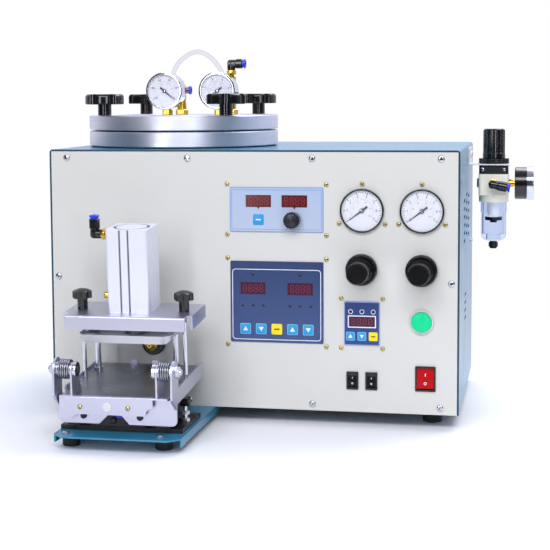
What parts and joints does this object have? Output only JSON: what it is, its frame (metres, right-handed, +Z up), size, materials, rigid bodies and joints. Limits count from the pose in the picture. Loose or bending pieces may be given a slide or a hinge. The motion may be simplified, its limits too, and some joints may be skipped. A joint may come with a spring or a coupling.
{
  "type": "vacuum wax injector",
  "caption": "Bench wax injector with a heated vacuum tank under a bolted lid, an air-driven mould clamp before its nozzle, and a panel of gauges and switches.",
  "frame": {"origin": "middle of the outline, on the surface that the feet stand on", "axes": "+Z up, +X to the right of the panel, +Y from the panel to the rear; the nozzle points along -Y"},
  "size_m": [0.585, 0.475, 0.4549],
  "materials": {
    "shell_paint": "smooth teal blue paint, satin gloss",
    "panel_paint": "light grey powder coat",
    "zinc_steel": "bright plated sheet steel",
    "steel": "bright steel",
    "aluminium": "turned aluminium, fine concentric marks",
    "anodised": "smooth anodised aluminium profile",
    "brass": "machined brass",
    "rubber": "matt black rubber",
    "black_plastic": "glossy black moulded plastic",
    "matt_black": "matt black plastic",
    "black_metal": "black oxide machined steel",
    "display_blue": "printed pale blue front film",
    "controller_navy": "printed navy front film",
    "clear": "clear window",
    "bowl_clear": "clear polycarbonate bowl",
    "element_white": "white sintered element",
    "cream_plastic": "cream painted die casting",
    "white_steel": "white painted sheet",
    "green": "translucent green lens",
    "red": "glossy red plastic",
    "tube": "milky clear nylon tube",
    "mica": "mica heater band in a steel jacket",
    "pump": "grey painted pump and valve block"
  },
  "bodies": {
    "cabinet": {"cabinet_shell": "shell_paint", "front_panel": "panel_paint", "rear_chassis": "shell_paint", "rubber_feet": "rubber", "steel_screws": "steel", "brass_screws": "brass", "wax_tank": "aluminium", "heater_band": "mica", "vacuum_unit": "pump", "tank_gaskets": "rubber", "nozzle_insulator": "matt_black", "display_panel": "display_blue", "controller_panels": "controller_navy", "gauge_cases": "black_plastic", "gauge_lenses": "clear", "control_bezels": "black_plastic", "base_plate": "shell_paint", "slide_base": "black_metal", "forward_cylinder": "anodised", "filter_bracket": "white_steel", "filter_body": "cream_plastic", "filter_bonnet": "black_plastic", "filter_bowl": "bowl_clear", "filter_element": "element_white", "filter_fittings": "black_plastic"},
    "lid": {"tank_lid": "aluminium", "lid_gauge_cases": "steel", "lid_gauge_lenses": "clear", "lid_fittings": "brass", "air_tube": "tube"},
    "carriage": {"carriage_block": "black_metal", "carriage_bracket": "zinc_steel", "torsion_springs": "steel", "pivot_hardware": "steel"},
    "press_frame": {"mould_tray": "zinc_steel", "guide_posts": "steel", "top_plate": "zinc_steel", "clamp_cylinder": "anodised", "cylinder_fittings": "black_plastic"},
    "injection_nozzle": {"injection_nozzle": "brass"},
    "green_button": {"green_button": "green"},
    "power_rocker": {"power_rocker": "red"},
    "forward_rocker": {"forward_rocker": "black_plastic"},
    "clamp_rocker": {"clamp_rocker": "black_plastic"},
    "forward_regulator_knob": {"forward_regulator_knob": "black_plastic"},
    "clamp_regulator_knob": {"clamp_regulator_knob": "black_plastic"},
    "display_knob": {"display_knob": "black_plastic"},
    "forward_needle": {"forward_needle": "matt_black"},
    "clamp_needle": {"clamp_needle": "matt_black"},
    "supply_needle": {"supply_needle": "matt_black"},
    "filter_knob": {"filter_knob": "black_plastic"},
    "vacuum_needle": {"vacuum_needle": "matt_black"},
    "pressure_needle": {"pressure_needle": "matt_black"},
    "lid_knob_1": {"lid_knob_1": "black_plastic"},
    "lid_knob_2": {"lid_knob_2": "black_plastic"},
    "lid_knob_3": {"lid_knob_3": "black_plastic"},
    "lid_knob_4": {"lid_knob_4": "black_plastic"},
    "press_plate": {"press_plate": "zinc_steel"},
    "post_knob_left": {"post_knob_left": "black_plastic"},
    "post_knob_right": {"post_knob_right": "black_plastic"}
  },
  "joints": [
    {"name": "nozzle_valve", "type": "slide", "parent": "cabinet", "child": "injection_nozzle", "axis": [0, 1, 0], "range_m": [0, 0.003], "stiffness_N_per_m": 800, "springref_m": -0.004},
    {"name": "hold_button_press", "type": "slide", "parent": "cabinet", "child": "green_button", "axis": [0, 1, 0], "range_m": [0, 0.003], "stiffness_N_per_m": 400, "springref_m": -0.003},
    {"name": "power_switch_rock", "type": "hinge", "parent": "cabinet", "child": "power_rocker", "pos_m": [0.1702, -0.062, 0.0607], "axis": [1, 0, 0], "range_deg": [0, 18]},
    {"name": "forward_switch_rock", "type": "hinge", "parent": "cabinet", "child": "forward_rocker", "pos_m": [0.0837, -0.062, 0.056], "axis": [1, 0, 0], "range_deg": [0, 18]},
    {"name": "clamp_switch_rock", "type": "hinge", "parent": "cabinet", "child": "clamp_rocker", "pos_m": [0.1063, -0.062, 0.056], "axis": [1, 0, 0], "range_deg": [0, 18]},
    {"name": "forward_regulator_turn", "type": "hinge", "parent": "cabinet", "child": "forward_regulator_knob", "pos_m": [0.095, -0.0645, 0.1895], "axis": [0, 1, 0], "continuous": true},
    {"name": "clamp_regulator_turn", "type": "hinge", "parent": "cabinet", "child": "clamp_regulator_knob", "pos_m": [0.1655, -0.0645, 0.1895], "axis": [0, 1, 0], "continuous": true},
    {"name": "display_knob_turn", "type": "hinge", "parent": "cabinet", "child": "display_knob", "pos_m": [0.0125, -0.0645, 0.2472], "axis": [0, 1, 0], "range_deg": [0, 270]},
    {"name": "forward_needle_turn", "type": "hinge", "parent": "cabinet", "child": "forward_needle", "pos_m": [0.095, -0.0645, 0.259], "axis": [0, 1, 0], "range_deg": [0, 270]},
    {"name": "clamp_needle_turn", "type": "hinge", "parent": "cabinet", "child": "clamp_needle", "pos_m": [0.1655, -0.0645, 0.259], "axis": [0, 1, 0], "range_deg": [0, 270]},
    {"name": "supply_needle_turn", "type": "hinge", "parent": "cabinet", "child": "supply_needle", "pos_m": [0.2925, 0.1355, 0.28], "axis": [-1, 0, 0], "range_deg": [0, 270]},
    {"name": "filter_knob_turn", "type": "hinge", "parent": "cabinet", "child": "filter_knob", "pos_m": [0.2415, 0.1355, 0.318], "axis": [0, 0, 1], "continuous": true},
    {"name": "lid_lift", "type": "slide", "parent": "cabinet", "child": "lid", "axis": [0, 0, 1], "range_m": [0, 0.12]},
    {"name": "vacuum_needle_turn", "type": "hinge", "parent": "lid", "child": "vacuum_needle", "pos_m": [-0.1775, 0.0535, 0.401], "axis": [0, -1, 0], "range_deg": [0, 260]},
    {"name": "pressure_needle_turn", "type": "hinge", "parent": "lid", "child": "pressure_needle", "pos_m": [-0.1075, 0.0535, 0.401], "axis": [0, 1, 0], "range_deg": [0, 260]},
    {"name": "lid_knob_1_turn", "type": "hinge", "parent": "lid", "child": "lid_knob_1", "pos_m": [-0.24247, 0.00789, 0.37], "axis": [0, 0, 1], "continuous": true},
    {"name": "lid_knob_2_turn", "type": "hinge", "parent": "lid", "child": "lid_knob_2", "pos_m": [-0.08289, -0.00047, 0.37], "axis": [0, 0, 1], "continuous": true},
    {"name": "lid_knob_3_turn", "type": "hinge", "parent": "lid", "child": "lid_knob_3", "pos_m": [-0.07452, 0.15911, 0.37], "axis": [0, 0, 1], "continuous": true},
    {"name": "lid_knob_4_turn", "type": "hinge", "parent": "lid", "child": "lid_knob_4", "pos_m": [-0.23411, 0.16748, 0.37], "axis": [0, 0, 1], "continuous": true},
    {"name": "carriage_forward", "type": "slide", "parent": "cabinet", "child": "carriage", "axis": [0, 1, 0], "range_m": [0, 0.014]},
    {"name": "frame_tilt", "type": "hinge", "parent": "carriage", "child": "press_frame", "pos_m": [-0.1605, -0.2221, 0.0912], "axis": [-1, 0, 0], "range_deg": [0, 4], "stiffness_Nm_per_rad": 4, "springref_deg": -85.94},
    {"name": "press_down", "type": "slide", "parent": "press_frame", "child": "press_plate", "axis": [0, 0.0698, -0.9976], "range_m": [0, 0.04], "stiffness_N_per_m": 150, "springref_m": -0.08},
    {"name": "post_knob_left_turn", "type": "hinge", "parent": "press_frame", "child": "post_knob_left", "pos_m": [-0.2215, -0.1503, 0.14815], "axis": [0, -0.0698, 0.9976], "continuous": true},
    {"name": "post_knob_right_turn", "type": "hinge", "parent": "press_frame", "child": "post_knob_right", "pos_m": [-0.0995, -0.1503, 0.14815], "axis": [0, -0.0698, 0.9976], "continuous": true}
  ]
}
